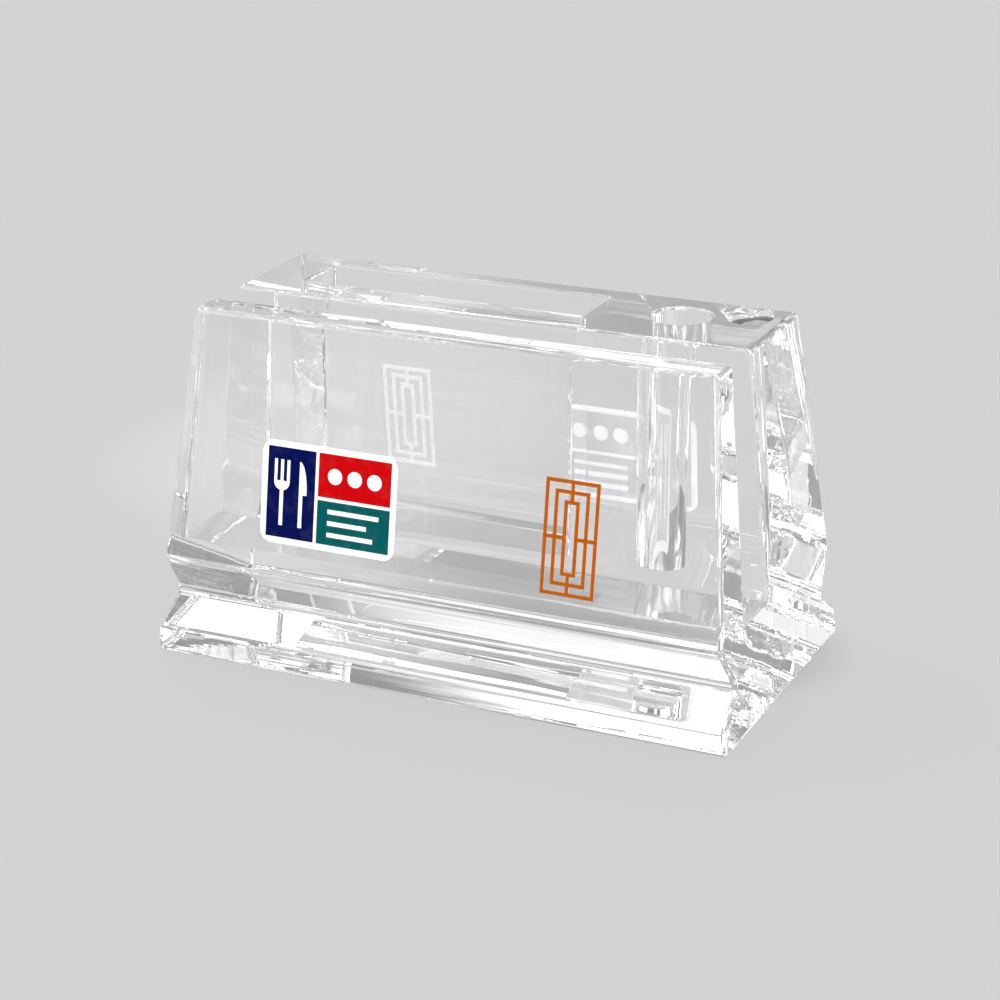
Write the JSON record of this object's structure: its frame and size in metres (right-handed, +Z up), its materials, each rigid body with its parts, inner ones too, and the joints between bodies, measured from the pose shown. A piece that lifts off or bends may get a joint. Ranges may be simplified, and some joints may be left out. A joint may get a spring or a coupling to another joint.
{
  "type": "menu stand",
  "caption": "Clear acrylic tabletop menu stand: tapered front plate and thick rear block on a moulded base, with a slot for menus, a card pocket and a pen well.",
  "frame": {"origin": "centre of the footprint, on the surface the stand rests on", "axes": "+X along the stand, to the right as seen from the front; +Y from the front plate to the rear block; +Z up"},
  "size_m": [0.1498, 0.0776, 0.0858],
  "materials": {
    "clear_acrylic": "polished, clear and colourless",
    "badge_ink": "printed, in dark blue, red and teal with a white border",
    "lattice_ink": "printed, in orange brown"
  },
  "bodies": {
    "root": {"base_block": "clear_acrylic", "front_plate": "clear_acrylic", "rear_block": "clear_acrylic", "front_badge": "badge_ink", "front_fret": "lattice_ink", "rear_badge": "badge_ink", "rear_fret": "lattice_ink"}
  },
  "joints": []
}
